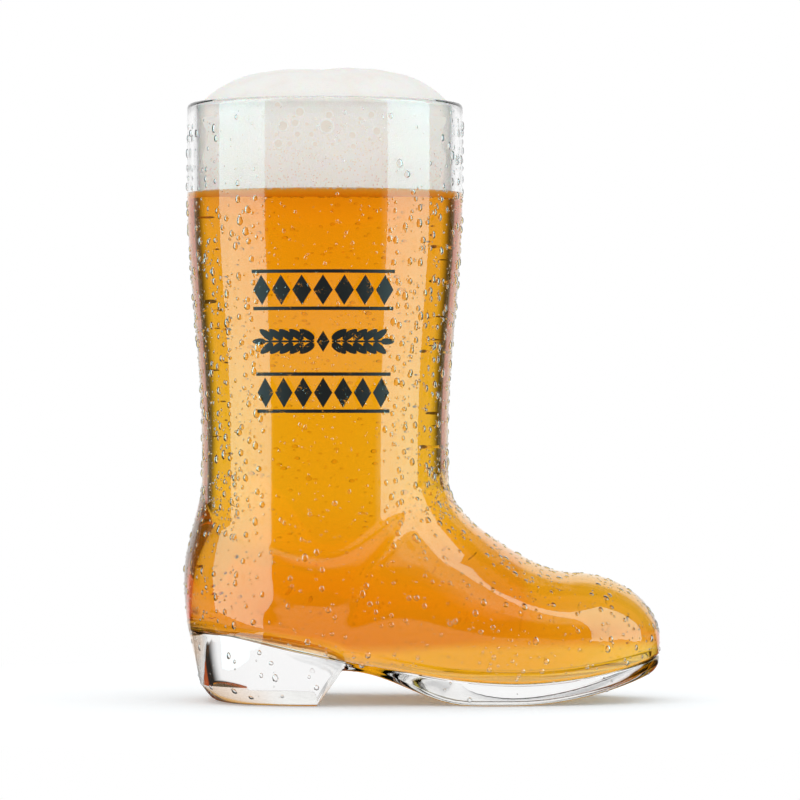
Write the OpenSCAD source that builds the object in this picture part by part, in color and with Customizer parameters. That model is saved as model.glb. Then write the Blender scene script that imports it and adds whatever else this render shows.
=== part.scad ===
/* [Vessel] */
// Height from the table to the rim of the glass
glass_h = 174; // [160:1:200]
// Thickness of the glass in the shaft and the upper of the foot
wall = 3; // [2:0.1:4]

/* [Shaft] */
// Outer radius at the rim
rim_r = 40.2; // [38:0.1:44]
// Outer radius at the ankle, where the shaft is narrowest
neck_r = 35.9; // [34:0.1:37.5]
// Height at which the shaft leaves the foot
neck_h = 73; // [66:0.5:80]
// Height at which the shaft has widened to the rim radius
flare_h = 150; // [120:1:165]

/* [Foot] */
// Length from the back of the heel to the tip of the toe
foot_len = 138.7; // [128:0.5:150]
// Distance from the shaft's axis to the back of the heel
heel_reach = 41.1; // [39:0.1:44]
// Greatest width of the foot, across the ankle
foot_w = 76.8; // [74:0.2:80]
// Height at which the foot is widest
wide_h = 20; // [14:0.5:24]
// Height at which the heel stands out furthest behind
bulge_h = 36; // [30:0.5:42]
// Height at which the bulge of the heel runs out into the shaft
bulge_top = 66; // [56:0.5:72]
// Height to which the sides of the foot would close under the shaft
side_top = 77.5; // [74:0.5:90]
// Height of the top of the toe
toe_top = 37.2; // [32:0.2:42]
// Height of the foremost point of the toe
toe_mid = 18; // [14:0.5:22]
// Distance from the shaft's axis to the point where the round of the toe begins
vamp_x = 71.5; // [62:0.5:80]

/* [Heel and sole] */
// Distance from the shaft's axis back to the foot of the heel's front face
breast_back = 1.8; // [0:0.1:8]
// Length over which the heel's front face leans forward
breast_run = 7.2; // [3:0.1:10]
// Height of the arch above the table
arch_h = 10.2; // [6:0.1:13]
// Distance from the shaft's axis to the point where the sole comes down to the table
sole_x = 42.2; // [34:0.1:50]
// Distance from the shaft's axis to the point where the toe begins to rise
ball_x = 54.2; // [50.5:0.1:62]
// Height of the sole's tip above the table
toe_spring = 9.6; // [5:0.1:11]
// Thickness of the glass under the ball of the foot
sole_t = 6.4; // [4:0.1:8]
// Height of the hollow's floor above the table, at the back of the heel
bed_back = 21.8; // [16:0.1:24]
// Rise of the hollow's floor from the ball of the foot to the toe
bed_spring = 7.2; // [4:0.1:9]
// Radius between the floor and the walls of the hollow
bed_round = 5; // [3:0.1:7]
// How far the heel draws in at the back, down to the table
heel_tuck = 6.6; // [3:0.1:9]
// How far the sides draw in at the heel, down to the table
side_tuck = 4.4; // [2:0.1:7]
// How far the toe draws in, down to the table
toe_tuck = 2; // [1:0.1:4]
// How far the sole draws in on each side at the waist
waist_in = 4.5; // [0:0.1:7]
// Bevel round the bottom of the heel
heel_bevel = 4.8; // [2:0.1:6]
// Bevel round the bottom of the sole
sole_bevel = 1.6; // [0.8:0.1:2.5]
// Depth of the seam between the sole and the upper
seam_in = 0.5; // [0.2:0.1:1]

/* [Beer and foam] */
// Height of the beer above the table
beer_level = 148; // [110:1:155]
// Height of the foam above the rim
foam_rise = 10.4; // [4:0.2:16]

/* [Hidden] */
// The axis of the shaft stands at x = 0 here, and the whole glass is then set on the middle of its length
axis_x = heel_reach - foot_len / 2;
toe_x = foot_len - heel_reach;
half_w = foot_w / 2;
breast_x = -breast_back;
arch_x = breast_x + breast_run;
lip_h = glass_h - wall / 2;
// Softness of the crease between shaft and foot, of the bend from shaft to instep, and of the hollow's floor
crease_blend = 4;
shin_blend = 10;
bed_blend = 3;
// Half the height of the seam
seam_half = 0.7;
// Heights over which the section of the foot turns from the dome of the vamp to the ring of the ankle
dome_h = 40;
ankle_h = 58;
// How far inside the lip the foam begins to dome
foam_in = 0.7;

// Exponents of the curves: the shape shares of the foot
plan_share = 2.7;
instep_share = 1.6;
instep_top_share = 1.73;
// Crowding of the rings towards the foot of the instep
crowd_share = 1.6;
dome_share = 3.2;
dome_edge_share = 0.7;
// Steepness with which a ring over the foot climbs from the instep line to the back
fan_share = 1.5;
// Height, as a share of the round of the toe, up to which the rings follow the sole
follow_share = 0.86;
// Bevel: how far in and how far up each of its rings runs, as shares of the bevel
bevel_shares = [[1, 0], [0.72, 0.12], [0, 1]];
// Rings between bed and the height where they turn level, as shares of that height
upper_shares = [0.1, 0.26, 0.44, 0.62, 0.8];

// Steps on each side of a ring, from the toe round to the heel, and how much closer they lie at the toe
stations = 32;
toe_share = 1.35;
// Steps that fall on the two edges of the heel's front face
arch_step = 18;
breast_step = 19;
toe_steps = 5;
instep_steps = 10;
shaft_steps = 7;
foam_steps = 7;
round_steps = 3;
lip_steps = 6;
reach_steps = 22;

function clamp(v) = min(1, max(0, v));
function mix(a, b, t) = a + (b - a) * t;
function ease(t) = (1 - cos(180 * clamp(t))) / 2;
function last(list) = list[len(list) - 1];
function reverse(list) = [for (i = [len(list) - 1 : -1 : 0]) list[i]];
// Height of a rounded outline above its middle, 1 in the middle and 0 at t = 1
function superellipse(t, n) = pow(1 - pow(clamp(t), n), 1 / n);
function soft_max(a, b, blend) = let (k = min(blend, min(a, b)))
    max(a, b) + (k > 0 ? pow(max(k - abs(a - b), 0), 2) / (4 * k) : 0);
// Halves its way along a ray from the shaft's axis to the point where it leaves the form
function reach(inside, near = 0, far = foot_len, n = reach_steps) =
    let (r = (near + far) / 2)
    n == 0 ? r : inside(r) ? reach(inside, r, far, n - 1) : reach(inside, near, r, n - 1);

// Shaft
function shaft_r(z) = mix(neck_r, rim_r, ease((z - neck_h) / (flare_h - neck_h)));

// Lines of the foot, seen from the side
function toe_spring_at(x, rise) = rise * pow(max(0, x - ball_x) / (toe_x - ball_x), 2);
function sole_z(x) =
    x < arch_x ? arch_h * clamp((x - breast_x) / breast_run)
    : arch_h * (1 - ease((x - arch_x) / (sole_x - arch_x))) + toe_spring_at(x, toe_spring);
function bed_z(x) = soft_max(
    mix(bed_back, sole_t, (x + heel_reach) / (sole_x + heel_reach)),
    sole_t + toe_spring_at(x, bed_spring), bed_blend);
function heel_line(z) =
    z > bulge_h ? mix(heel_reach, neck_r, ease((z - bulge_h) / (bulge_top - bulge_h)))
    : heel_reach - heel_tuck * pow(1 - z / bulge_h, 2);
function toe_line(z, inset) =
    z > toe_mid
    ? mix(vamp_x, toe_x - inset, superellipse((z - toe_mid) / (toe_top - inset - toe_mid), 2))
    : toe_x - inset - toe_tuck * pow(1 - z / toe_mid, 2);
// The instep falls from side_top over the shaft's axis to the top of the toe. Inside, the same line moves
// back and down by the wall
function instep_line(z, inset) = vamp_x
    * pow(1 - pow(clamp((z + inset - toe_top) / (side_top - toe_top)), 1 / instep_top_share), 1 / instep_share)
    - inset;
function instep_top(x, inset) = mix(toe_top, side_top,
    pow(1 - pow(clamp((x + inset) / vamp_x), instep_share), instep_top_share)) - inset;
function toe_cap(x, inset) = mix(toe_mid, toe_top - inset,
    superellipse((x - vamp_x) / (toe_x - inset - vamp_x), 2));

// How far a ring reaches forward from the axis
function front_reach(z, inset) = z > neck_h ? shaft_r(z) - inset
    : z > toe_top - inset ? soft_max(shaft_r(z) - inset, instep_line(z, inset), shin_blend)
    : toe_line(z, inset);

// Height of the foot at x on the centre line
function top_z(x, inset) = x > vamp_x ? toe_cap(x, inset) : instep_top(x, inset);

// How far down its side wall a point is, from 0 where the foot is widest to 1 at the edge of the sole
function low_share(x, z) = pow(clamp((wide_h - z) / (wide_h - sole_z(x))), 2);
function waist(x, z) = waist_in * pow(sin(180 * clamp(x / ball_x)), 2) * clamp(1 - z / dome_h);
function tuck(x) = mix(side_tuck, toe_tuck, clamp(x / ball_x));
// Half the width of the side wall before the ends of the foot round it off
function side_w(x, z) = z > wide_h ? half_w * superellipse((z - wide_h) / (side_top - wide_h), 2)
    : half_w - tuck(x) * low_share(x, z);

// Half the width of the foot in front of the axis. Low down it follows the sole's plan, over the vamp its
// section is a dome, and round the ankle its rings are rounded from the sides to the instep
function front_w(x, z, inset) =
    let (
        ringed = (side_w(x, z) - inset - waist(x, z)) * superellipse(x / front_reach(z, inset), plan_share),
        top = top_z(x, inset),
        domed = z > top ? 0 : (half_w - inset - waist(x, z)) * superellipse(x / (toe_x - inset), plan_share)
            * superellipse((z - wide_h) / (top - wide_h), 2)
    )
    z > wide_h ? mix(domed, ringed, ease((z - dome_h) / (ankle_h - dome_h))) : ringed;
function rear_w(x, z, inset) =
    (side_w(x, z) - inset) * superellipse(-x / (heel_line(z) - inset), 2);
function foot_half_w(x, z, inset) = x > 0 ? front_w(x, z, inset) : rear_w(x, z, inset);
function shaft_half_w(x, z, inset) = let (r = shaft_r(z) - inset) sqrt(max(0, r * r - x * x));
function half_width(x, z, inset) = z > neck_h ? shaft_half_w(x, z, inset)
    : soft_max(shaft_half_w(x, z, inset), foot_half_w(x, z, inset), crease_blend);

// Directions in which a ring is sampled. A ring near the sole has one on each edge of the heel's front face,
// and they even out further up
function turn(i) = 180 * pow(i / stations, toe_share);
function edge_turn(i, arch_a, breast_a) =
    i <= arch_step ? arch_a * turn(i) / turn(arch_step)
    : mix(breast_a, 180, (turn(i) - turn(breast_step)) / (180 - turn(breast_step)));

// One ring of the skin. z_at(x) and inset_at(x) say how high and how far inside the outer form it runs
function ring(z_at, inset_at, sole_share = 0) =
    let (
        width = function (x) half_width(x, z_at(x), inset_at(x)),
        arch_a = atan2(width(arch_x), arch_x),
        breast_a = atan2(width(breast_x), breast_x),
        side = [for (i = [0 : stations])
            let (
                a = mix(turn(i), edge_turn(i, arch_a, breast_a), sole_share),
                r = reach(function (r) width(r * cos(a)) > r * sin(a)),
                x = r * cos(a)
            )
            [x, r * sin(a), z_at(x)]]
    )
    concat(side, [for (i = [stations - 1 : -1 : 1]) [side[i].x, -side[i].y, side[i].z]]);
function level_ring(z, inset) = ring(function (x) z, function (x) inset);
// A ring over the foot, which meets the centre line at height z in front and climbs to height back_z
function fan_ring(z, back_z, inset) =
    let (front = front_reach(z, inset))
    ring(function (x) mix(z, back_z, pow(clamp((front - x) / (front + heel_reach)), fan_share)),
        function (x) inset);
function round_ring(r, z) = [for (i = [0 : 2 * stations - 1])
    let (a = i > stations ? -turn(2 * stations - i) : turn(i)) [r * cos(a), r * sin(a), z]];

// Heights of the rings on the centre line, over the toe and up the instep, and the rings that fan out there
function follow_h(inset) = mix(toe_mid, toe_top - inset, follow_share);
function front_levels(inset) = concat(
    [for (i = [0 : toe_steps])
        mix(toe_mid, toe_top - inset, sin(mix(asin(follow_share), 90, i / toe_steps)))],
    [for (i = [1 : instep_steps]) mix(toe_top - inset, neck_h, pow(i / instep_steps, crowd_share))]);
function fan_rings(inset) =
    let (levels = front_levels(inset), steps = len(levels) - 1)
    [for (i = [0 : steps]) fan_ring(levels[i], mix(follow_h(inset), neck_h, i / steps), inset)];
shaft_levels = [for (i = [1 : shaft_steps]) mix(neck_h, beer_level, i / shaft_steps)];

// Outside of the glass, from the sole to the beginning of the lip
function bevel(x) = x < breast_x ? heel_bevel
    : mix(heel_bevel, sole_bevel, clamp((x - breast_x) / breast_run));
function seam_share(x) = ease((x - arch_x) / (sole_x - arch_x));
function seam_z(x) = max(bed_z(x), sole_z(x) + bevel(x) + 2 * seam_half);
bevel_rings = [for (s = bevel_shares)
    ring(function (x) sole_z(x) + s[1] * bevel(x), function (x) s[0] * bevel(x), 1)];
seam_rings = [for (s = [-1, 0, 1])
    ring(function (x) seam_z(x) + s * seam_half,
        function (x) s == 0 ? seam_in * seam_share(x) : 0, 1)];
upper_rings = [for (s = upper_shares)
    ring(function (x) mix(seam_z(x) + seam_half, follow_h(0), s), function (x) 0, 1 - s)];
outer_rings = concat(bevel_rings, seam_rings, upper_rings, fan_rings(0),
    [for (z = shaft_levels) level_ring(z, 0)], [level_ring(lip_h, 0)]);

// Rounded lip, from the outside over the top
lip_rings = [for (i = [1 : lip_steps - 1])
    let (a = 180 * i / lip_steps)
    round_ring(shaft_r(lip_h) - wall / 2 * (1 - cos(a)), lip_h + wall / 2 * sin(a))];

// Wall of the hollow, from its floor to the beer's level
floor_rings = [for (i = [0 : round_steps])
    let (a = 90 * i / round_steps)
    ring(function (x) bed_z(x) + bed_round * (1 - cos(a)),
        function (x) wall + bed_round * (1 - sin(a)))];
wall_rings = [for (s = upper_shares)
    ring(function (x) mix(bed_z(x) + bed_round, follow_h(wall), s), function (x) wall)];
hollow_rings = concat(floor_rings, wall_rings, fan_rings(wall),
    [for (z = shaft_levels) level_ring(z, wall)]);

// Foam: up the inside of the shaft, then over the rim
foam_r = shaft_r(lip_h) - wall - foam_in;
foam_rings = concat(
    [last(hollow_rings), level_ring(lip_h, wall)],
    [for (i = [1 : foam_steps])
        let (r = foam_r * cos(90 * (i - 1) / foam_steps))
        round_ring(r, lip_h + (glass_h - lip_h + foam_rise)
            * pow(1 - pow(r / foam_r, dome_share), dome_edge_share))]);

// Closed skin over a stack of rings, with flat strips across the first and the last ring
module skin(rings) {
    n = 2 * stations;
    top = (len(rings) - 1) * n;
    function strip(i, first) = let (a = first + i, b = first + i + 1,
            c = first + n - i - 1, d = first + (n - i) % n)
        i == 0 ? [[a, b, c]] : i == stations - 1 ? [[a, b, d]] : [[a, b, c], [a, c, d]];
    sides = [for (j = [0 : len(rings) - 2], i = [0 : n - 1])
        let (a = j * n + i, b = j * n + (i + 1) % n)
        each [[a, b + n, b], [a, a + n, b + n]]];
    bottom_cap = [for (i = [0 : stations - 1]) each strip(i, 0)];
    top_cap = [for (i = [0 : stations - 1]) each [for (f = strip(i, top)) reverse(f)]];
    polyhedron([for (r = rings) each r], concat(sides, bottom_cap, top_cap), convexity = 6);
}

module boot_glass()
    color("aliceblue", 0.4) translate([axis_x, 0, 0])
        skin(concat(outer_rings, lip_rings, [level_ring(lip_h, wall)], reverse(hollow_rings)));

module beer()
    color("orange", 0.8) translate([axis_x, 0, 0]) skin(hollow_rings);

module foam_head()
    color("ivory") translate([axis_x, 0, 0]) skin(foam_rings);

boot_glass();
beer();
foam_head();
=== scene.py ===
import math
import bpy
import numpy as np
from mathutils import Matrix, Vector


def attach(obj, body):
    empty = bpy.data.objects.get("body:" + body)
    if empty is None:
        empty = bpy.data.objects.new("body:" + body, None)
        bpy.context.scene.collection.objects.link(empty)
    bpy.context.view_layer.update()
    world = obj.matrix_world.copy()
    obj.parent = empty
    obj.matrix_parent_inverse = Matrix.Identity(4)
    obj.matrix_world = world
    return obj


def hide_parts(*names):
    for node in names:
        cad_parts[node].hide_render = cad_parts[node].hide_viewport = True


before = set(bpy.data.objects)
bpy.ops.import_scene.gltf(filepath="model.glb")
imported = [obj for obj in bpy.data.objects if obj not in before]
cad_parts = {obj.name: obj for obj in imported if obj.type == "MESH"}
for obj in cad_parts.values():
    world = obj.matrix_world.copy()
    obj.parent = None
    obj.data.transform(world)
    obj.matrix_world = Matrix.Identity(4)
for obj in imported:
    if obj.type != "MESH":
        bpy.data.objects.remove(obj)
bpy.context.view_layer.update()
rng = np.random.default_rng(7)
mm = 0.001

# small helpers

def clamp(v):
    return np.clip(v, 0.0, 1.0)


def mix(a, b, t):
    return a + (b - a) * t


def ease(t):
    return (1 - np.cos(np.pi * clamp(t))) / 2


def arch(t, n):  # a rounded outline above its middle: 1 in the middle, 0 at t = 1
    return (1 - clamp(t) ** n) ** (1 / n)


def softMax(a, b, blend):
    k = np.minimum(blend, np.minimum(a, b))
    bump = np.maximum(k - np.abs(a - b), 0) ** 2 / (4 * np.maximum(k, 1e-9))
    return np.maximum(a, b) + np.where(k > 0, bump, 0)


def freshStart():
    if bpy.context.object and bpy.context.object.mode != "OBJECT":
        bpy.ops.object.mode_set(mode="OBJECT")
    bpy.ops.object.select_all(action="DESELECT")


def named(name):
    obj = bpy.context.object
    obj.name = name
    obj.data.name = name
    return obj


def pickOut(obj):
    freshStart()
    obj.select_set(True)
    bpy.context.view_layer.objects.active = obj


# the form of the boot, in millimetres from the shaft's axis

boot = {
    "glassHeight": 174.0, "wall": 3.0,
    "rimRadius": 40.2, "neckRadius": 35.9, "neckHeight": 73.0, "flareHeight": 150.0,
    "footLength": 138.7, "heelReach": 41.1, "footWidth": 76.8, "wideHeight": 20.0,
    "bulgeHeight": 36.0, "bulgeTop": 66.0, "sideTop": 77.5, "toeTop": 37.2, "toeMiddle": 18.0,
    "vampStart": 71.5, "breastBack": 1.8, "breastRun": 7.2, "archHeight": 10.2, "soleStart": 42.2,
    "ballEnd": 54.2, "toeSpring": 9.6,
    "soleThickness": 6.4, "bedBack": 21.8, "bedSpring": 7.2, "bedRound": 5.0,
    "heelTuck": 6.6, "heelShare": 2.6, "heelRoundFrom": 8.0, "heelRoundRun": 12.0,
    "sideTuck": 4.4, "toeTuck": 2.0, "waistIn": 4.5,
    "heelBevel": 4.8, "soleBevel": 1.6, "seamIn": 0.5, "seamHalf": 0.7,
    "creaseBlend": 0.8, "shinBlend": 10.0, "bedBlend": 3.0, "domeHeight": 40.0, "ankleHeight": 58.0,
    "foldOut": 1.1, "foldEarly": 1.2, "foldStart": 1.5, "foldEnd": 3.2, "foldRise": 8.0, "foldSide": 12.0,
    "foldBack": 22.0, "foldRun": 9.0,
    "planShare": 2.7, "instepShare": 1.6, "instepTopShare": 1.73, "fanShare": 1.5, "followShare": 0.86,
    "stations": 96, "archStep": 54, "breastStep": 57, "toeShare": 1.35, "instepStepShare": 1.6,
}
skinMeasures = {"halvings": 34, "weld": 2e-7, "sharp": 34}
beerMeasures = {"level": 148.0, "overlap": 0.12}

halfWidthOfFoot = boot["footWidth"] / 2
toeReach = boot["footLength"] - boot["heelReach"]
breastX = -boot["breastBack"]
archX = breastX + boot["breastRun"]
axisX = boot["heelReach"] - boot["footLength"] / 2
lipHeight = boot["glassHeight"] - boot["wall"] / 2


def shaftRadius(z):
    b = boot
    up = (z - b["neckHeight"]) / (b["flareHeight"] - b["neckHeight"])
    return mix(b["neckRadius"], b["rimRadius"], ease(up))


def springAt(x, rise):
    return rise * (np.maximum(0, x - boot["ballEnd"]) / (toeReach - boot["ballEnd"])) ** 2


def soleZ(x):
    b = boot
    heel = b["archHeight"] * clamp((x - breastX) / b["breastRun"])
    arched = b["archHeight"] * (1 - ease((x - archX) / (b["soleStart"] - archX)))
    sole = arched + springAt(x, b["toeSpring"])
    return np.where(x < archX, heel, sole)


def bedZ(x):
    b = boot
    along = (x + b["heelReach"]) / (b["soleStart"] + b["heelReach"])
    slope = mix(b["bedBack"], b["soleThickness"], along)
    return softMax(slope, b["soleThickness"] + springAt(x, b["bedSpring"]), b["bedBlend"])


def heelLine(z):
    b = boot
    up = (z - b["bulgeHeight"]) / (b["bulgeTop"] - b["bulgeHeight"])
    above = mix(b["heelReach"], b["neckRadius"], ease(up))
    below = b["heelReach"] - b["heelTuck"] * np.maximum(0, 1 - z / b["bulgeHeight"]) ** 2
    return np.where(z > b["bulgeHeight"], above, below)


def toeLine(z, inset):
    b = boot
    up = (z - b["toeMiddle"]) / (b["toeTop"] - inset - b["toeMiddle"])
    above = mix(b["vampStart"], toeReach - inset, arch(up, 2))
    below = toeReach - inset - b["toeTuck"] * np.maximum(0, 1 - z / b["toeMiddle"]) ** 2
    return np.where(z > b["toeMiddle"], above, below)


def instepLine(z, inset):
    b = boot
    up = clamp((z + inset - b["toeTop"]) / (b["sideTop"] - b["toeTop"]))
    return b["vampStart"] * (1 - up ** (1 / b["instepTopShare"])) ** (1 / b["instepShare"]) - inset


def topZ(x, inset):
    b = boot
    share = (1 - clamp((x + inset) / b["vampStart"]) ** b["instepShare"]) ** b["instepTopShare"]
    cap = mix(b["toeMiddle"], b["toeTop"] - inset,
              arch((x - b["vampStart"]) / (toeReach - inset - b["vampStart"]), 2))
    return np.where(x > b["vampStart"], cap, mix(b["toeTop"], b["sideTop"], share) - inset)


def frontReach(z, inset):
    b = boot
    shaft = shaftRadius(z) - inset
    shin = softMax(shaft, np.maximum(instepLine(z, inset), 0), b["shinBlend"])
    foot = np.where(z > b["toeTop"] - inset, shin, toeLine(z, inset))
    return np.where(z > b["neckHeight"], shaft, foot)


def waistAt(x, z):
    along = np.sin(np.pi * clamp(x / boot["ballEnd"])) ** 2
    return boot["waistIn"] * along * clamp(1 - z / boot["domeHeight"])


def sideWidth(x, z):
    b = boot
    low = clamp((b["wideHeight"] - z) / (b["wideHeight"] - soleZ(x))) ** 2
    tuck = mix(b["sideTuck"], b["toeTuck"], clamp(x / b["ballEnd"]))
    high = halfWidthOfFoot * arch((z - b["wideHeight"]) / (b["sideTop"] - b["wideHeight"]), 2)
    return np.where(z > b["wideHeight"], high, halfWidthOfFoot - tuck * low)


def frontWidth(x, z, inset):
    b = boot
    ringed = (sideWidth(x, z) - inset - waistAt(x, z)) * arch(x / frontReach(z, inset), b["planShare"])
    top = topZ(x, inset)
    domed = (halfWidthOfFoot - inset - waistAt(x, z)) * arch(x / (toeReach - inset), b["planShare"])
    domed *= arch((z - b["wideHeight"]) / np.maximum(top - b["wideHeight"], 0.01), 2)
    domed = np.where(z > top, 0, domed)
    turn = ease((z - b["domeHeight"]) / (b["ankleHeight"] - b["domeHeight"]))
    return np.where(z > b["wideHeight"], mix(domed, ringed, turn), ringed)


def halfWidth(x, z, inset):
    b, radius = boot, shaftRadius(z) - inset
    shaft = np.sqrt(np.maximum(0, radius * radius - x * x))
    share = mix(b["heelShare"], 2, clamp((z - b["heelRoundFrom"]) / b["heelRoundRun"]))
    rear = (sideWidth(x, z) - inset) * arch(-x / (heelLine(z) - inset), share)
    foot = np.maximum(0, np.where(x > 0, frontWidth(x, z, inset), rear))
    both = softMax(shaft, foot + foldAt(foot, shaft, x, z), b["creaseBlend"])
    return np.where(z > b["neckHeight"], shaft, both)


def foldAt(foot, shaft, x, z):  # the skin of the foot steps out a little where it leaves the shaft
    b, out = boot, foot - shaft
    step = ease((out + b["foldEarly"]) / b["foldStart"])
    step *= 1 - ease((out - b["foldStart"]) / (b["foldEnd"] - b["foldStart"]))
    step = b["foldOut"] * step * clamp((z - b["wideHeight"]) / b["foldRise"])
    return step * clamp(shaft / b["foldSide"]) * ease((x + b["foldBack"]) / b["foldRun"])


def ringOf(zAt, insetAt, soleShare=0.0):  # one ring of points round the boot, from the toe back to the toe
    n = boot["stations"]
    turn = math.pi * (np.arange(n + 1) / n) ** boot["toeShare"]
    edge = [math.atan2(float(halfWidth(x, zAt(x), insetAt(x))), x) for x in map(np.array, (archX, breastX))]
    a, b = boot["archStep"], boot["breastStep"]
    steps = np.arange(n + 1)
    onEdges = np.where(steps <= a, edge[0] * turn / turn[a],
                       np.where(steps < b, mix(edge[0], edge[1], (steps - a) / (b - a)),
                                mix(edge[1], math.pi, (turn - turn[b]) / (math.pi - turn[b]))))
    angle = mix(turn, onEdges, soleShare)
    near, far = np.zeros(n + 1), np.full(n + 1, boot["footLength"])
    for _ in range(skinMeasures["halvings"]):
        r = (near + far) / 2
        x = r * np.cos(angle)
        inside = halfWidth(x, zAt(x), insetAt(x)) > r * np.sin(angle)
        near, far = np.where(inside, r, near), np.where(inside, far, r)
    x, y = near * np.cos(angle), near * np.sin(angle)
    y[0] = y[-1] = 0
    half = np.stack([x, y, zAt(x)], 1)
    return np.concatenate([half, half[-2::-1] * [1, -1, 1]])


def level(z, inset):
    return ringOf(lambda x: z + 0 * x, lambda x: inset + 0 * x)


def fanRing(z, backZ, inset):
    front = float(frontReach(np.array(z), inset))
    climb = lambda x: mix(z, backZ, clamp((front - x) / (front + boot["heelReach"])) ** boot["fanShare"])
    return ringOf(climb, lambda x: inset + 0 * x)


def roundRing(radius, z):
    n = boot["stations"]
    half = np.pi * (np.arange(n + 1) / n) ** boot["toeShare"]
    a = np.concatenate([half, -half[-2::-1]])
    return np.stack([radius * np.cos(a), radius * np.sin(a), np.full(len(a), z)], 1)


def followHeight(inset):
    return mix(boot["toeMiddle"], boot["toeTop"] - inset, boot["followShare"])


def fanRings(inset, toeSteps=10, instepSteps=26):
    b = boot
    start = math.asin(b["followShare"])
    heights = [mix(b["toeMiddle"], b["toeTop"] - inset, math.sin(mix(start, math.pi / 2, i / toeSteps)))
               for i in range(toeSteps + 1)]
    heights += [mix(b["toeTop"] - inset, b["neckHeight"], (i / instepSteps) ** b["instepStepShare"])
                for i in range(1, instepSteps + 1)]
    last = len(heights) - 1
    return [fanRing(h, mix(followHeight(inset), b["neckHeight"], i / last), inset)
            for i, h in enumerate(heights)]


def bevelAt(x):
    return np.where(x < breastX, boot["heelBevel"],
                    mix(boot["heelBevel"], boot["soleBevel"], clamp((x - breastX) / boot["breastRun"])))


def seamZ(x):
    return np.maximum(bedZ(x), soleZ(x) + bevelAt(x) + 2 * boot["seamHalf"])


def skinMesh(name, rings):  # a grid of rows and columns is rolled into the stack of rings and closed
    rows, columns = len(rings), len(rings[0])
    freshStart()
    bpy.ops.mesh.primitive_grid_add(x_subdivisions=columns - 1, y_subdivisions=rows - 1, size=2)
    obj = named(name)
    flat = np.empty(len(obj.data.vertices) * 3)
    obj.data.vertices.foreach_get("co", flat)
    flat = flat.reshape(-1, 3)
    column = np.rint((flat[:, 0] + 1) / 2 * (columns - 1)).astype(int)
    row = np.rint((flat[:, 1] + 1) / 2 * (rows - 1)).astype(int)
    stack = np.array(rings) + [axisX, 0, 0]
    obj.data.vertices.foreach_set("co", (stack[row, column] * mm).ravel())
    bpy.ops.object.mode_set(mode="EDIT")
    bpy.ops.mesh.select_all(action="SELECT")
    bpy.ops.mesh.remove_doubles(threshold=skinMeasures["weld"])
    bpy.ops.mesh.normals_make_consistent(inside=False)
    bpy.ops.object.mode_set(mode="OBJECT")
    bpy.ops.object.shade_smooth_by_angle(angle=math.radians(skinMeasures["sharp"]))
    return obj


def closeAcross(ring):  # rings that shrink onto the centre line, so that the ring is filled by flat strips
    return [ring * [1, s, 1] for s in (0, 0.34, 0.68)]


def outerRings(sideSteps=14, shaftSteps=26):
    b = boot
    rings = []
    for inShare, upShare in [(1, 0), (0.82, 0.05), (0.6, 0.17), (0.3, 0.5), (0.07, 0.9), (0, 1.08)]:  # the bevel
        rings.append(ringOf(lambda x: soleZ(x) + upShare * bevelAt(x), lambda x: inShare * bevelAt(x), 1))
    share = lambda x: ease((x - archX) / (b["soleStart"] - archX))
    for s in (-1.2, -0.7, -0.25, 0.25, 0.7, 1.2):  # the groove of the welt, in halves of its height
        depth = b["seamIn"] * math.exp(-(s / 0.55) ** 2)
        rings.append(ringOf(lambda x: seamZ(x) + s * b["seamHalf"], lambda x: depth * share(x), 1))
    for s in np.linspace(0.07, 0.94, sideSteps):
        rings.append(ringOf(lambda x: mix(seamZ(x) + 1.2 * b["seamHalf"], followHeight(0), s),
                            lambda x: 0 * x, 1 - s))
    rings = closeAcross(rings[0]) + rings + fanRings(0)
    rings += [level(z, 0) for z in np.linspace(b["neckHeight"], lipHeight, shaftSteps + 1)[1:]]
    return rings


def hollowRings(inset, top, bedSteps=8, sideSteps=12, shaftSteps=23):
    b = boot
    rings = []
    for i in range(bedSteps + 1):
        a = math.pi / 2 * i / bedSteps
        rings.append(ringOf(lambda x: bedZ(x) + (inset - b["wall"]) + b["bedRound"] * (1 - math.cos(a)),
                            lambda x: inset + b["bedRound"] * (1 - math.sin(a)) + 0 * x))
    for s in np.linspace(0.08, 0.92, sideSteps):
        rings.append(ringOf(lambda x: mix(bedZ(x) + b["bedRound"], followHeight(inset), s),
                            lambda x: inset + 0 * x))
    rings = closeAcross(rings[0]) + rings + fanRings(inset)
    rings += [level(z, inset) for z in np.linspace(b["neckHeight"], top, shaftSteps + 1)[1:]]
    return rings


def lipRings(steps=14):
    half = boot["wall"] / 2
    middle = float(shaftRadius(np.array(lipHeight))) - half
    turns = [math.pi * i / steps for i in range(1, steps)]
    return [roundRing(middle + half * math.cos(a), lipHeight + half * math.sin(a)) for a in turns]


glassPiece = skinMesh("boot_vessel", outerRings() + lipRings() + hollowRings(boot["wall"], lipHeight)[::-1])
print("glass:", len(glassPiece.data.polygons), "faces")

beerRings = hollowRings(boot["wall"] - beerMeasures["overlap"], beerMeasures["level"])
beerPiece = skinMesh("beer_body", beerRings + closeAcross(beerRings[-1])[::-1])
print("beer:", len(beerPiece.data.polygons), "faces")

# the head of foam

foamMeasures = {"gap": -0.02, "clear": 0.3, "sideFrom": 0.87, "sideRun": 0.08, "sideWave": 0.02, "waveTurn": 0.55,
                "lipFrom": 169.0, "sunk": 0.06, "wallRings": 20, "domeRings": 34,
                "rise": 10.4, "edgeIn": 0.7, "domeShare": 3.2, "domeEdgeShare": 0.7,
                "dip": 0.65, "dipAt": -2, "dipRun": 9, "lean": 0.6, "leanFrom": -4, "leanRun": 26, "lumps": 0.12}


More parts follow.
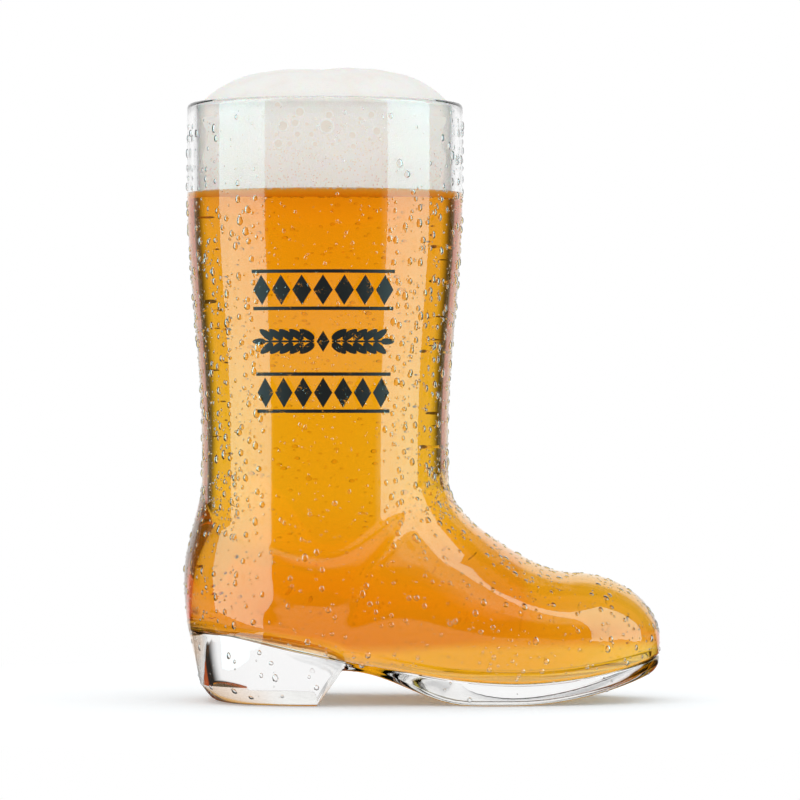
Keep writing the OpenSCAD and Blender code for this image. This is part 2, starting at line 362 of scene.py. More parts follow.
def foamRadius(z, aside):  # the foam wets the glass, but stands clear of it at both sides and under the lip
    f = foamMeasures
    atSides = ease((aside + f["sideWave"] * np.sin(f["waveTurn"] * z) - f["sideFrom"]) / f["sideRun"])
    atLip = ease((z - f["lipFrom"]) / (lipHeight - f["lipFrom"]))
    return shaftRadius(z) - boot["wall"] - f["gap"] - f["clear"] * np.maximum(atSides, atLip)


def foamRings():
    f = foamMeasures
    rings = []
    for z in np.linspace(beerMeasures["level"] - f["sunk"], lipHeight, f["wallRings"]):
        ring = roundRing(1.0, z)
        ring[:, :2] *= foamRadius(z, np.abs(ring[:, 0]))[:, None]
        rings.append(ring)
    edge = float(shaftRadius(np.array(lipHeight))) - boot["wall"] - f["edgeIn"]
    rise = boot["glassHeight"] - lipHeight + f["rise"]
    for i in range(f["domeRings"] + 1):
        r = edge * math.cos(math.pi / 2 * i / f["domeRings"])
        ring = roundRing(r, lipHeight + rise * (1 - (r / edge) ** f["domeShare"]) ** f["domeEdgeShare"])
        x, y = ring[:, 0], ring[:, 1]
        dip = f["dip"] * np.exp(-((x - f["dipAt"]) / f["dipRun"]) ** 2)
        dip += f["lean"] * clamp((f["leanFrom"] - x) / f["leanRun"])
        waves = np.sin(0.23 * x + 0.6) * np.cos(0.19 * y - 0.4) + np.sin(0.5 * x + 0.37 * y)
        ring[:, 2] -= (dip + f["lumps"] * (2 + waves)) * (1 - (r / edge) ** 6)
        rings.append(ring)
    bottom = [rings[0] * [s, s, 1] for s in (0.001, 0.34, 0.68)]
    return bottom + rings


foamPiece = skinMesh("foam_dome", foamRings())
print("foam:", len(foamPiece.data.polygons), "faces")

# many copies of one small shape

def template(make):  # points and faces of the small shape
    freshStart()
    make()
    obj = bpy.context.object
    points = np.array([v.co[:] for v in obj.data.vertices])
    faces = [list(f.vertices) for f in obj.data.polygons]
    bpy.data.objects.remove(obj, do_unlink=True)
    return points, faces


def meshPiece(name, points, faces):  # from points in millimetres
    mesh = bpy.data.meshes.new(name)
    mesh.from_pydata((np.array(points) * mm).tolist(), [], faces)
    obj = bpy.data.objects.new(name, mesh)
    bpy.context.collection.objects.link(obj)
    pickOut(obj)
    return obj


def swarm(name, shape, frames, tag=None):  # one mesh with a copy of the shape in every frame (origin, three axes)
    points, faces = shape
    allPoints = np.concatenate([origin + points @ axes for origin, axes in frames])
    allFaces = [[v + i * len(points) for v in f] for i in range(len(frames)) for f in faces]
    obj = meshPiece(name, allPoints, allFaces)
    if tag is not None:
        layer = obj.data.attributes.new("fromMiddle", "FLOAT", "POINT")
        layer.data.foreach_set("value", np.tile(tag, len(frames)))
    bpy.ops.object.shade_smooth()
    return obj


def spots(rings, radii, spacing, keep):  # places on a skin, with their normals, spread by area
    grid, count = np.array(rings), len(radii)
    a, b, c, d = grid[:-1, :-1], grid[:-1, 1:], grid[1:, 1:], grid[1:, :-1]
    normal = np.cross(c - a, d - b).reshape(-1, 3)
    area = np.linalg.norm(normal, axis=1)
    corners = np.stack([a, b, c, d], 2).reshape(-1, 4, 3)
    picks = rng.choice(len(area), count, p=area / area.sum())
    u, v = rng.random(count)[:, None], rng.random(count)[:, None]
    q = corners[picks]
    places = (q[:, 0] * (1 - u) + q[:, 1] * u) * (1 - v) + (q[:, 3] * (1 - u) + q[:, 2] * u) * v
    normals = normal[picks] / area[picks][:, None]
    chosen, chosenRadii, out = np.empty((0, 3)), np.empty(0), []
    for i in np.argsort(-radii):
        if not keep(places[i], radii[i]):
            continue
        if len(chosen) and (np.linalg.norm(chosen - places[i], axis=1) < (chosenRadii + radii[i]) * spacing).any():
            continue
        chosen = np.vstack([chosen, places[i]])
        chosenRadii = np.append(chosenRadii, radii[i])
        out.append((places[i], normals[i], radii[i]))
    return out


# condensation on the outside

dropMeasures = {"shaftCount": 3100, "footCount": 2700, "cornerTries": 15000, "quarterTries": 5200,
                "smallest": 0.19, "spread": 0.68, "tail": 1.35, "largest": 1.1, "facing": 0.55, "frontShare": 0.88,
                "cornerRadii": (0.22, 0.5), "quarterRadii": (0.5, 0.95), "spacing": 1.12, "cornerSpacing": 0.85,
                "quarterSpacing": 1.9, "height": 0.46, "sunk": 0.12, "heavier": 0.16,
                "long": (0.95, 1.45), "short": (0.85, 1.2), "longFrom": 0.5,
                "shaftFrom": 60, "foamFrom": 146, "shaftTo": 171.5, "onFoam": 0.5,
                "quarterFrom": 48, "quarterShare": 0.5, "quarterReach": 40,
                "behindX": (-36, -25), "behindZ": 58, "behindSlope": 0.4, "beforeX": (27, 39), "beforeZ": 62,
                "cornerReach": 9, "footFrom": 1.0, "nearFoot": 1.7, "farFoot": 0.8, "soleTo": 1.2, "onSole": 0.25}
d = dropMeasures


def dropShape():
    bpy.ops.mesh.primitive_uv_sphere_add(segments=8, ring_count=5, radius=1)


def dropFrames(places):
    frames = []
    for place, normal, radius in places:
        down = np.array([0, 0, -1.0]) - normal * -normal[2]
        if np.linalg.norm(down) < 0.15:
            down = np.array([1.0, 0, 0])
        down /= np.linalg.norm(down)
        across = np.cross(normal, down)
        long = rng.uniform(*d["long" if radius > d["longFrom"] else "short"])
        axes = np.stack([across * radius, down * radius * long, normal * radius])
        frames.append((place + [axisX, 0, 0], axes))
    return frames


dropPoints, dropFaces = template(dropShape)
dropPoints[:, 2] *= np.where(dropPoints[:, 2] > 0, d["height"], d["sunk"])
dropPoints[:, 0] *= 1 + d["heavier"] * dropPoints[:, 1]  # at its lower end
skin = outerRings()[3:]


def dropRadii(count):
    return np.minimum(d["smallest"] * np.exp(np.abs(rng.normal(0, d["spread"], count)) * d["tail"]), d["largest"])


def onShaft(p, radius):  # the widest drops hang at the sides, where the boot doesn't magnify them
    inFront = abs(p[1]) / math.hypot(p[0], p[1]) > d["frontShare"]
    fits = d["shaftFrom"] < p[2] < d["shaftTo"] and not (inFront and radius >= d["facing"])
    return fits and (p[2] < d["foamFrom"] or rng.random() < d["onFoam"])


def inCorner(p, radius):  # finer drops crowd where the foot leaves the shaft, behind and in front
    back, reach = d["behindX"], d["cornerReach"]
    behind = back[0] < p[0] < back[1] and abs(p[2] - d["behindZ"]) < reach + (p[0] - back[1]) * d["behindSlope"]
    before = d["beforeX"][0] < p[0] < d["beforeX"][1] and abs(p[2] - d["beforeZ"]) < reach
    return behind or before


def onQuarter(p, radius):  # wider drops on the quarters in front, set apart from each other
    facing = -p[1] / math.hypot(p[0], p[1])
    high = d["quarterFrom"] < p[2] < d["foamFrom"]
    return high and d["quarterShare"] < facing < d["frontShare"] and abs(p[0]) < d["quarterReach"]


def onFoot(p, radius):
    solid = p[2] < seamZ(np.array(p[0])) + d["soleTo"]  # on the clear glass of heel and sole they are few
    widest = d["facing"] * d["nearFoot" if p[1] < 0 else "farFoot"]
    fits = d["footFrom"] < p[2] <= d["shaftFrom"] and radius < widest
    return fits and (not solid or rng.random() < d["onSole"])


def dropSwarm(name, radii, spacing, keep, most=None):
    return swarm(name, (dropPoints, dropFaces), dropFrames(spots(skin, radii, spacing, keep)[:most]))


drops = (dropSwarm("drops_on_shaft", dropRadii(d["shaftCount"] * 2), d["spacing"], onShaft, d["shaftCount"]),
         dropSwarm("drops_on_foot", dropRadii(d["footCount"] * 2), d["spacing"], onFoot, d["footCount"]),
         dropSwarm("drops_in_corners", rng.uniform(*d["cornerRadii"], d["cornerTries"]), d["cornerSpacing"],
                   inCorner),
         dropSwarm("drops_on_quarters", rng.uniform(*d["quarterRadii"], d["quarterTries"]), d["quarterSpacing"],
                   onQuarter))
print("drops:", [len(piece.data.polygons) for piece in drops], "faces")

# gas bubbles in the beer

gasMeasures = {"count": 150, "smallest": 0.12, "largest": 0.36, "middle": 19, "toe": 58, "lowest": 14,
               "highest": 146, "growth": (0.7, 0.5), "shaftFrom": 30, "overBed": 5, "fromWall": 10}


def gasFrames():
    g, frames = gasMeasures, []
    while len(frames) < g["count"]:
        z = rng.uniform(g["lowest"], g["highest"])
        x, y = rng.uniform(-g["middle"], g["toe"]), rng.uniform(-g["middle"], g["middle"])
        r = rng.uniform(g["smallest"], g["largest"]) * (g["growth"][0] + g["growth"][1] * z / g["highest"])
        low = z < bedZ(np.array(x)) + g["overBed"]
        if low or halfWidth(np.array(x), np.array(z), boot["wall"] + g["fromWall"]) < abs(y):
            continue
        if z > g["shaftFrom"] and math.hypot(x, y) > g["middle"]:
            continue
        frames.append((np.array([x + axisX, y, z]), np.eye(3) * r))
    return frames


gasShape = template(lambda: bpy.ops.mesh.primitive_ico_sphere_add(subdivisions=1, radius=1))
gasPiece = swarm("gas_bubbles", gasShape, gasFrames())
print("gas bubbles:", len(gasPiece.data.polygons), "faces")

# bubbles in the foam, against the glass

foamBubbles = {"turn": [-10, -17.5, -19.5, 1.5, 2.6, -5, -11, -14.4, -3.4, 12.6, 13, 23.5, 21, -12, -20.5,
                        -20, 7, 16, -7],
               "height": [169.5, 165.6, 160.6, 165.4, 168.6, 163.1, 163.2, 160.5, 160.3, 162.9, 159.7, 164.2,
                          168.8, 166.4, 163.2, 171.4, 161.3, 167.6, 166],
               "radius": [1.5, 1.75, 1.45, 2.2, 1.2, 0.9, 1.0, 1.0, 0.9, 1.2, 1.0, 1.4, 1.15, 1.2, 0.75, 1.2,
                          0.6, 0.7, 0.7],
               "small": 260, "smallHeights": (150, 171), "smallRadii": (0.22, 0.6),
               "beads": 420, "beadLifts": (-0.15, 0.25), "beadRadii": (0.2, 0.42), "flat": 0.03, "sunk": 0.01}


def foamFrame(turn, z, radius):
    a = math.radians(turn)
    normal = np.array([math.sin(a), -math.cos(a), 0])
    across = np.array([math.cos(a), math.sin(a), 0])
    up = np.array([0, 0, 1.0])
    r = float(foamRadius(np.array(z), abs(normal[0]))) - foamBubbles["sunk"]
    axes = np.stack([across * radius, up * radius, normal * radius * foamBubbles["flat"]])
    return np.array([axisX, 0, z]) + normal * r, axes


def foamSwarm(name, frames, segments, rings):
    shape = template(lambda: bpy.ops.mesh.primitive_uv_sphere_add(segments=segments, ring_count=rings, radius=1))
    return swarm(name, shape, frames, np.hypot(shape[0][:, 0], shape[0][:, 1]))


f = foamBubbles
large = [foamFrame(turn, z, radius) for turn, z, radius in zip(f["turn"], f["height"], f["radius"])]
foamBubblePiece = foamSwarm("foam_bubbles", large, 20, 8)
small = [foamFrame(rng.uniform(-180, 180), rng.uniform(*f["smallHeights"]), rng.uniform(*f["smallRadii"]))
         for _ in range(f["small"])]
small += [foamFrame(rng.uniform(-180, 180), beerMeasures["level"] + rng.uniform(*f["beadLifts"]),
                    rng.uniform(*f["beadRadii"])) for _ in range(f["beads"])]
foamBeadPiece = foamSwarm("foam_beads", small, 10, 4)
print("foam bubbles:", len(foamBubblePiece.data.polygons) + len(foamBeadPiece.data.polygons), "faces")

# the ornament printed on the shaft

ornament = {"rows": [118.9, 104.2, 89.6], "halfHeight": 5.4, "turn": 31.5, "shaft": 38.2, "ink": 0.04,
            "lozenges": 7, "wide": 0.92, "high": 0.8, "line": 0.5, "lineAt": 0.98, "lift": 0.015}
ear = {"grains": 5, "step": 3.1, "start": 1.6, "apart": 2.0, "grain": (2.6, 1.1), "turn": 33, "middle": (1.9, 3.0),
       "taper": 0.22, "stem": (10.6, 8.0, 0.3), "tip": (19.6, 2.3, 0.9)}
inkGrids = []


def inkGrid(shape, columns=12, rows=6):  # shape(u, v), each from -1 to 1, gives millimetres along and up the shaft
    u, v = np.meshgrid(np.linspace(-1, 1, columns + 1), np.linspace(-1, 1, rows + 1))
    inkGrids.append((shape(u, v), columns, rows))


def lozenge(along, up, a, b):
    inkGrid(lambda u, v: (along + (u - v) / 2 * a, up + (u + v) / 2 * b), 8, 8)


def bar(along, up, a, b):
    inkGrid(lambda u, v: (along + u * a, up + v * b), max(2, int(a * 1.2)), 2)


def grain(along, up, length, width, turn):
    c, s = math.cos(math.radians(turn)), math.sin(math.radians(turn))

    def leaf(u, v):
        across = v * width * np.sqrt(np.maximum(1 - u * u, 0)) * (1 - ear["taper"] * u)
        return along + u * length * c - across * s, up + u * length * s + across * c
    inkGrid(leaf, 12, 4)


halfRun = math.radians(ornament["turn"]) * ornament["shaft"]
n, middleRow = ornament["lozenges"], ornament["rows"][1]
for row in (0, 2):
    z, h = ornament["rows"][row], ornament["halfHeight"]
    for i in range(n):
        lozenge((i - (n - 1) / 2) * halfRun * 2 / n, z, halfRun / n * ornament["wide"], h * ornament["high"])
    for side in (-1, 1):
        bar(0, z + side * h * ornament["lineAt"], halfRun, ornament["line"])
lozenge(0, middleRow, *ear["middle"])
for side in (-1, 1):  # two ears of barley, point to point
    back = 0 if side > 0 else 180
    for i in range(1, ear["grains"] + 1):
        for up in (-1, 1):
            along = side * (i * ear["step"] + ear["start"])
            grain(along, middleRow + up * ear["apart"], *ear["grain"], back + side * up * ear["turn"])
    bar(side * ear["stem"][0], middleRow, *ear["stem"][1:])
    grain(side * ear["tip"][0], middleRow, *ear["tip"][1:], back)


def inkMesh():
    points, faces = [], []
    for (along, up), columns, rows in inkGrids:
        start = len(points)
        for a, z in zip(np.ravel(along), np.ravel(up)):
            r = float(shaftRadius(np.array(z))) + ornament["lift"]
            turn = a / ornament["shaft"]
            points.append((axisX + r * math.sin(turn), -r * math.cos(turn), z))
        for j in range(rows):
            for i in range(columns):
                k = start + j * (columns + 1) + i
                faces.append((k, k + 1, k + columns + 2, k + columns + 1))
    obj = meshPiece("shaft_ornament", points, faces)
    bpy.ops.object.mode_set(mode="EDIT")
    bpy.ops.mesh.select_all(action="SELECT")
    bpy.ops.mesh.remove_doubles(threshold=1e-6)
    bpy.ops.mesh.normals_make_consistent(inside=False)
    bpy.ops.object.mode_set(mode="OBJECT")
    skinOf = obj.modifiers.new("ink", "SOLIDIFY")
    skinOf.thickness = ornament["ink"] * mm
    skinOf.offset = 1
    bpy.ops.object.modifier_apply(modifier="ink")
    return obj


inkPiece = inkMesh()
print("ornament:", len(inkPiece.data.polygons), "faces")

# materials

def newMaterial(name, **values):
    material = bpy.data.materials.new(name)
    material.use_nodes = True
    bsdf = material.node_tree.nodes["Principled BSDF"]
    for socket, value in values.items():
        bsdf.inputs[socket.replace("_", " ")].default_value = value
    return material, material.node_tree, bsdf


def dress(obj, material):
    obj.data.materials.clear()
    obj.data.materials.append(material)


def add(tree, kind, **inputs):
    node = tree.nodes.new("ShaderNode" + kind)
    for socket, value in inputs.items():
        node.inputs[socket.replace("_", " ")].default_value = value
    return node


def ramp(tree, value, *stops):
    node = tree.nodes.new("ShaderNodeValToRGB")
    tree.links.new(value, node.inputs[0])
    bar = node.color_ramp
    while len(bar.elements) < len(stops):
        bar.elements.new(0.5)
    for element, (place, colour) in zip(bar.elements, stops):
        element.position = place
        element.color = colour if isinstance(colour, tuple) else (colour, colour, colour, 1)
    return node.outputs["Color"]


def connect(tree, *pairs):
    for start, end in pairs:
        tree.links.new(start, end)


def put(tree, value, socket):  # a number or a colour, or what another node gives
    if isinstance(value, bpy.types.NodeSocket):
        tree.links.new(value, socket)
    else:
        socket.default_value = value


def blendColours(tree, share, first, second):
    node = add(tree, "Mix")
    node.data_type = "RGBA"
    for place, value in ((0, share), (6, first), (7, second)):
        put(tree, value, node.inputs[place])
    return node.outputs[2]


def maths(tree, operation, first, second):
    node = add(tree, "Math")
    node.operation = operation
    put(tree, first, node.inputs[0])
    put(tree, second, node.inputs[1])
    return node.outputs[0]


def larger(tree, first, second):
    return maths(tree, "MAXIMUM", first, second)


def product(tree, first, second):
    return maths(tree, "MULTIPLY", first, second)


def vectors(tree, operation, first, second=None):
    node = add(tree, "VectorMath")
    node.operation = operation
    put(tree, first, node.inputs[0])
    if second is not None:
        put(tree, second, node.inputs[1])
    return node.outputs["Value" if operation in ("LENGTH", "DOT_PRODUCT") else "Vector"]


def smoothStep(tree, value, start, end, **inputs):
    node = add(tree, "MapRange", From_Min=start, From_Max=end, **inputs)
    node.interpolation_type = "SMOOTHSTEP"
    tree.links.new(value, node.inputs["Value"])
    return node.outputs["Result"]


def texture(tree, kind, **inputs):  # it stays in place on the piece
    node, place = add(tree, kind, **inputs), add(tree, "TexCoord")
    tree.links.new(place.outputs["Object"], node.inputs["Vector"])
    return node


def bump(tree, bsdf, height, strength, distance):
    node = add(tree, "Bump", Strength=strength, Distance=distance)
    connect(tree, (height, node.inputs["Height"]), (node.outputs[0], bsdf.inputs["Normal"]))


def newGroup(name, output, **inputs):  # an effect that several materials share, with numbers in and one number out
    group = bpy.data.node_groups.new(name, "ShaderNodeTree")
    for socket, value in inputs.items():
        given = group.interface.new_socket(name=socket, in_out="INPUT", socket_type="NodeSocketFloat")
        given.default_value = value
    group.interface.new_socket(name=output, in_out="OUTPUT", socket_type="NodeSocketFloat")
    return group, *(group.nodes.new(kind) for kind in ("NodeGroupInput", "NodeGroupOutput", "ShaderNodeTexCoord"))


def use(tree, group, **inputs):
    node = add(tree, "Group")
    node.node_tree = group
    for socket, value in inputs.items():
        node.inputs[socket].default_value = value
    return node.outputs[0]


# the share of the way up, 0 at the bottom and 1 at the top
heightShare, given, result, place = newGroup("height_share", "Share", Bottom=0.0, Top=1.0)
split, between = add(heightShare, "SeparateXYZ"), add(heightShare, "MapRange")
connect(heightShare, (place.outputs["Object"], split.inputs[0]), (split.outputs["Z"], between.inputs["Value"]),
        (given.outputs["Bottom"], between.inputs["From Min"]), (given.outputs["Top"], between.inputs["From Max"]),
        (between.outputs["Result"], result.inputs[0]))

# the uneven skin of glass and water
ripples, given, result, place = newGroup("ripples", "Height", Scale=100.0, Detail=0.0)
noise = add(ripples, "TexNoise")
connect(ripples, (place.outputs["Object"], noise.inputs["Vector"]), (given.outputs["Scale"], noise.inputs["Scale"]),
        (given.outputs["Detail"], noise.inputs["Detail"]), (noise.outputs[0], result.inputs[0]))


def byHeight(tree, bottom, top, *stops):
    return ramp(tree, use(tree, heightShare, Bottom=bottom, Top=top), *stops)


glassLook = {"Base_Color": (1, 1, 1, 1), "Roughness": 0.0, "IOR": 1.5, "Transmission_Weight": 1.0}
glassMaterial, tree, bsdf = newMaterial("clear_glass", **glassLook)
bump(tree, bsdf, use(tree, ripples, Scale=38.0, Detail=1.0), strength=0.25, distance=0.0004)
dress(glassPiece, glassMaterial)

waterLook = {"Base_Color": (1, 1, 1, 1), "Roughness": 0.0, "IOR": 1.333, "Transmission_Weight": 1.0}
seenAmber, beerTop = (0.94, 0.82, 0.45, 1), beerMeasures["level"] * mm
beerSeenInDrops = [(0.1, 1.0), (0.19, seenAmber), (0.98, seenAmber), (1.0, 1.0)]  # painted: the beer seen through the water, put into the drops' own colour by height
waterMaterial, tree, bsdf = newMaterial("condensed_water", **waterLook)
tree.links.new(byHeight(tree, 0.0, beerTop, *beerSeenInDrops), bsdf.inputs["Base Color"])
bump(tree, bsdf, use(tree, ripples, Scale=900.0), strength=0.15, distance=0.0001)
for piece in drops:
    dress(piece, waterMaterial)

beerLook = {"Base_Color": (1, 1, 1, 1), "Roughness": 0.0, "IOR": 1.333, "Transmission_Weight": 1.0}
beerTint = {"colour": (0.98, 0.82, 0.03, 1), "density": 83.0}
# painted light and shade: the beer's colour is set by height, darker low in the foot and just under the foam, paler
# in the middle of the shaft
beerLightAndShade = [(0.0, 1.0), (0.108, 1.0), (0.122, (0.88, 0.59, 0.37, 1)), (0.2, (0.90, 0.65, 0.42, 1)),
             (0.318, (0.97, 0.83, 0.6, 1)), (0.405, (0.99, 0.96, 0.8, 1)), (0.56, (0.99, 0.97, 0.8, 1)),
             (0.88, (0.99, 0.85, 0.65, 1)), (0.94, (0.98, 0.82, 0.6, 1)), (1.0, (0.84, 0.64, 0.5, 1))]
beerPaintedGlow = {"colour": (1.0, 0.85, 0.02, 1), "strength": 1.1}  # painted light: the beer's volume glows a little, though beer is no lamp
beerMaterial, tree, bsdf = newMaterial("amber_beer", **beerLook)
absorb = add(tree, "VolumeAbsorption", Color=beerTint["colour"], Density=beerTint["density"])
beerGlowShader = add(tree, "Emission", Color=beerPaintedGlow["colour"], Strength=beerPaintedGlow["strength"])
absorbAndGlow = add(tree, "AddShader")
connect(tree, (absorb.outputs[0], absorbAndGlow.inputs[0]), (beerGlowShader.outputs[0], absorbAndGlow.inputs[1]),
        (absorbAndGlow.outputs[0], tree.nodes["Material Output"].inputs["Volume"]),
        (byHeight(tree, 0.0, beerTop, *beerLightAndShade), bsdf.inputs["Base Color"]))
dress(beerPiece, beerMaterial)

gasLook = {"Roughness": 0.05, "IOR": 1.2, "Transmission_Weight": 1.0}
gasTint = [(0.3, (1.0, 0.9, 0.72, 1)), (0.7, (1.0, 0.8, 0.5, 1))]
gasMaterial, tree, bsdf = newMaterial("beer_gas", **gasLook)
tree.links.new(ramp(tree, use(tree, ripples, Scale=700.0), *gasTint), bsdf.inputs["Base Color"])
dress(gasPiece, gasMaterial)

foamLook = {"Roughness": 0.6, "Subsurface_Weight": 0.35, "Subsurface_Scale": 0.003, "Specular_IOR_Level": 0.3}
foamColours = {"cream": (0.955, 0.935, 0.895, 1), "inside": (0.95, 0.90, 0.855, 1), "blush": (0.945, 0.85, 0.785, 1),
               "warm": (0.87, 0.78, 0.70, 1), "bubbleShade": (0.86, 0.775, 0.685, 1), "rim": (0.955, 0.92, 0.88, 1),
               "seam": (0.62, 0.50, 0.41, 1), "wet": (0.95, 0.62, 0.30, 1)}
foamHeights = {"low": (0.149, 0.170), "dome": (0.1705, 0.1735), "wet": (0.14795, 0.1481)}
foamPaintedGlow = {"strength": 0.25, "under": 0.42}  # painted light: the foam below the dome glows, and the wet line at its foot glows more, though foam is no lamp
foamMaterial, tree, bsdf = newMaterial("beer_foam", **foamLook)
low = byHeight(tree, *foamHeights["low"], (0.0, 1.0), (1.0, 0.12))
dome = byHeight(tree, *foamHeights["dome"], (0.0, 0.0), (1.0, 1.0))
wet = byHeight(tree, *foamHeights["wet"], (0.0, 1.0), (1.0, 0.0))
glow = byHeight(tree, *foamHeights["dome"], (0.0, foamPaintedGlow["strength"]), (1.0, 0.0))
cells = ramp(tree, texture(tree, "TexVoronoi", Scale=1150.0).outputs["Distance"], (0.10, 0.8), (0.36, 0.0))
cloud = ramp(tree, texture(tree, "TexNoise", Scale=120.0, Detail=4.0).outputs[0], (0.45, 0.0), (0.75, 0.4))
seams = product(tree, cells, low)
skinTone = foamColours["inside"]
for share, colour in ((low, "blush"), (dome, "cream"), (cloud, "warm"), (seams, "seam"), (wet, "wet")):
    skinTone = blendColours(tree, share, skinTone, foamColours[colour])
connect(tree, (skinTone, bsdf.inputs["Base Color"]), (skinTone, bsdf.inputs["Emission Color"]),
        (larger(tree, glow, product(tree, wet, foamPaintedGlow["under"])), bsdf.inputs["Emission Strength"]))
fine = texture(tree, "TexVoronoi", Scale=2600.0)
bump(tree, bsdf, fine.outputs["Distance"], strength=0.35, distance=0.0002)
dress(foamPiece, foamMaterial)

# painted light: the bubbles glow as the foam does
bubbleLook = {"Roughness": 0.25, "Specular_IOR_Level": 0.5, "Emission_Strength": foamPaintedGlow["strength"]}
bubbleTones = [(0.0, "bubbleShade"), (0.7, "bubbleShade"), (0.86, "rim"), (1.0, "cream")]  # from the middle of a bubble outward; painted shade: each bubble's middle is darker, where one looks into it
bubbleMaterial, tree, bsdf = newMaterial("foam_bubble", **bubbleLook)
middle = add(tree, "Attribute")
middle.attribute_name = "fromMiddle"
tint = ramp(tree, middle.outputs["Fac"], *((place, foamColours[tone]) for place, tone in bubbleTones))
connect(tree, (tint, bsdf.inputs["Base Color"]), (tint, bsdf.inputs["Emission Color"]))
dress(foamBubblePiece, bubbleMaterial)
dress(foamBeadPiece, bubbleMaterial)

inkLook = {"black": [(0.30, (0.012, 0.011, 0.010, 1)), (0.42, (0.06, 0.045, 0.02, 1))],
           "cover": [(0.345, 1.0), (0.375, 0.25)]}  # the ink is worn thin in places
inkMaterial, tree, bsdf = newMaterial("black_ink", Roughness=0.5)
worn = texture(tree, "TexNoise", Scale=1500.0, Detail=5.0, Roughness=0.75)
patch = texture(tree, "TexNoise", Scale=260.0, Detail=3.0)
both = product(tree, worn.outputs[0], patch.outputs[0])
connect(tree, (ramp(tree, both, *inkLook["black"]), bsdf.inputs["Base Color"]),
        (ramp(tree, both, *inkLook["cover"]), bsdf.inputs["Alpha"]))
dress(inkPiece, inkMaterial)
print("materials:", len(bpy.data.materials))

# stage, light and camera

copper = (0.82, 0.50, 0.34, 1)  # the warm light that the walls of the glass gather
emberLine = (0.50, 0.10, 0.03, 1)  # and its last glow before the dark line inside them
pale = (0.8, 1.2, 1.2, 1)  # the shine of the lamps in the inner skins
floorLook = {"Base_Color": (0.92, 0.955, 0.975, 1), "Roughness": 1.0, "Specular_IOR_Level": 0.0}
floorReach = {"near": 0.09, "far": 0.24, "glow": 0.16, "litNear": 0.5, "litFar": 1.1}
room = {"darkAt": 0.72, "whiteAt": 0.82, "dark": 0.02, "fill": (1.0, 1.0, 1.0, 1),
        "patch": {"way": (0, -0.6, 0.8), "from": 0.88, "to": 0.97, "bright": 0.55},
        "straight": [(0.08, 1.0), (0.11, 0.15), (0.19, 0.15), (0.22, 0.75), (0.35, 0.9), (0.62, 0.9), (0.66, copper),
                     (0.76, copper), (0.785, emberLine), (0.82, emberLine), (0.835, 0.02)],
        "mirrored": [(0.18, 0.0), (0.23, pale), (0.50, pale), (0.56, 0.45), (0.65, 0.45), (0.70, copper),
                     (0.77, copper), (0.80, 0.03)]}
softbox = {"angle": {-1: 71.29, 1: 73}, "distance": 0.40, "width": 0.31, "wider": {-1: 0.03, 1: 0.0},
           "height": 0.62, "middle": 0.312, "shine": 4.3, "shineColour": (0.51, 0.88, 0.94),
           "light": 0.25, "lightColour": (1.0, 0.97, 0.91)}
view = {"place": (-6.35 * mm, -1.5, 87.5 * mm), "lens": 231.2, "sensor": 36}


def surroundings(tree, direction, path):  # white behind the boot, dark beside and before it, a patch high in front
    split, around = add(tree, "SeparateXYZ"), add(tree, "MapRange", From_Min=-1.0)
    connect(tree, (direction, split.inputs[0]), (split.outputs["Y"], around.inputs["Value"]))
    behind = smoothStep(tree, split.outputs["Y"], room["darkAt"], room["whiteAt"], To_Min=room["dark"])
    patch = room["patch"]
    toward = vectors(tree, "DOT_PRODUCT", direction, patch["way"])
    above = smoothStep(tree, toward, patch["from"], patch["to"], To_Max=patch["bright"])
    # light that came through the glass is told apart by whether it was also mirrored in it
    through = path.outputs["Is Transmission Ray"]
    straight = product(tree, through, maths(tree, "LESS_THAN", path.outputs["Glossy Depth"], 0.5))
    mirrored = maths(tree, "SUBTRACT", through, straight)
    seen = larger(tree, larger(tree, behind, above), path.outputs["Is Camera Ray"])
    for share, stops in ((straight, room["straight"]), (mirrored, room["mirrored"])):
        part = vectors(tree, "MULTIPLY", ramp(tree, around.outputs["Result"], *stops), share)
        seen = vectors(tree, "MAXIMUM", part, seen)
    return seen


freshStart()
bpy.ops.mesh.primitive_circle_add(vertices=96, radius=40, fill_type="NGON", location=(0, 0, -0.00006))
floor = named("floor")
floor.data.transform(floor.matrix_world)
floor.matrix_world.identity()
floorMaterial, tree, bsdf = newMaterial("pale_floor", **floorLook)
place, path = add(tree, "TexCoord").outputs["Object"], add(tree, "LightPath")
outward, reach = vectors(tree, "NORMALIZE", place), vectors(tree, "LENGTH", place)
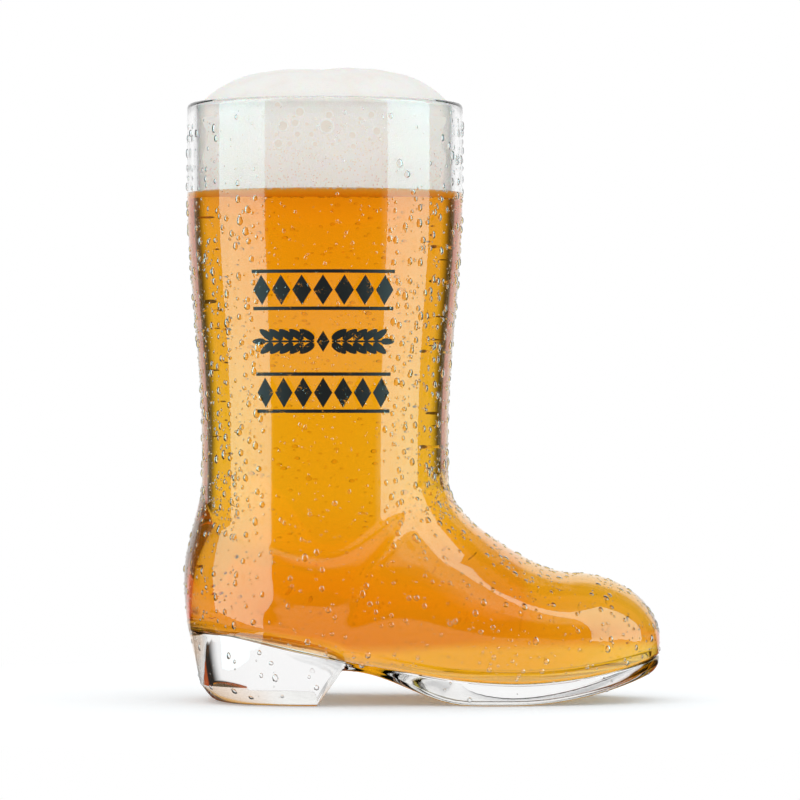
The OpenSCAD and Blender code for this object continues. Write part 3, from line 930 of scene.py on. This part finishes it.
# a shadow falls on the floor near the boot, and farther out the floor is the room's white
lit = add(tree, "MapRange", From_Min=floorReach["litNear"], From_Max=floorReach["litFar"], To_Min=1.0, To_Max=0.0)
tree.links.new(reach, lit.inputs["Value"])
white = product(tree, lit.outputs["Result"], path.outputs["Is Transmission Ray"])
far, glow = add(tree, "Emission"), add(tree, "Emission")
direct = maths(tree, "LESS_THAN", path.outputs["Diffuse Depth"], 0.5)
straight = product(tree, larger(tree, path.outputs["Is Camera Ray"], path.outputs["Is Transmission Ray"]), direct)
away = product(tree, straight, smoothStep(tree, reach, floorReach["near"], floorReach["far"]))
seen = larger(tree, away, product(tree, path.outputs["Is Glossy Ray"], direct))
near, whole = add(tree, "AddShader"), add(tree, "MixShader")
connect(tree, (vectors(tree, "MAXIMUM", surroundings(tree, outward, path), white), far.inputs["Color"]),
        (product(tree, straight, floorReach["glow"]), glow.inputs["Strength"]),
        (bsdf.outputs[0], near.inputs[0]), (glow.outputs[0], near.inputs[1]),
        (seen, whole.inputs[0]), (near.outputs[0], whole.inputs[1]), (far.outputs[0], whole.inputs[2]),
        (whole.outputs[0], tree.nodes["Material Output"].inputs["Surface"]))
dress(floor, floorMaterial)

world = bpy.data.worlds.new("studio")
bpy.context.scene.world = world
world.use_nodes = True
tree = world.node_tree
path, place = add(tree, "LightPath"), add(tree, "TexCoord")
around = surroundings(tree, place.outputs["Generated"], path)
sky = blendColours(tree, path.outputs["Diffuse Depth"], around, room["fill"])
tree.links.new(sky, tree.nodes["Background"].inputs["Color"])


def lamp(name, side, radiance, colour):
    freshStart()
    box, turn = softbox, side * math.radians(softbox["angle"][side])
    middle = Vector((axisX * mm, 0, box["middle"]))
    spot = middle + box["distance"] * Vector((math.sin(turn), -math.cos(turn), 0))
    bpy.ops.object.light_add(type="AREA", location=spot)
    light = named(name)
    light.data.shape = "RECTANGLE"
    light.data.size, light.data.size_y = box["width"] + box["wider"][side], box["height"]
    light.data.energy = radiance * math.pi * box["width"] * box["height"]
    light.data.color = colour
    light.rotation_euler = (middle - spot).to_track_quat("-Z", "Y").to_euler()
    return light


# at each side one lamp gives the shine in the glass, and one gives the light on the foam
for side, word in ((-1, "left"), (1, "right")):
    shine = lamp("shine_" + word, side, softbox["shine"], softbox["shineColour"])
    shine.visible_diffuse = False
    shine.visible_transmission = False
    light = lamp("light_" + word, side, softbox["light"], softbox["lightColour"])
    light.visible_glossy = False
    light.visible_transmission = False

bpy.ops.object.camera_add(location=view["place"], rotation=(math.pi / 2, 0, 0))
camera = named("camera")
camera.data.lens = view["lens"]
camera.data.sensor_width = view["sensor"]
bpy.context.scene.camera = camera
bpy.context.scene.view_settings.view_transform = "Standard"
print("stage: floor, four lamps, camera")

# which piece stands for what

roles = [(glassPiece, "boot_glass", "glass"), (beerPiece, "beer", "beer"), (foamPiece, "foam_head", "foam"),
         (foamBubblePiece, "foam_head", "foam"), (foamBeadPiece, "foam_head", "foam"), (gasPiece, None, "beer"),
         (inkPiece, None, "glass"), *((piece, None, "glass") for piece in drops)]
for piece, node, slot in roles:
    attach(piece, "root")
    if node:
        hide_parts(node)
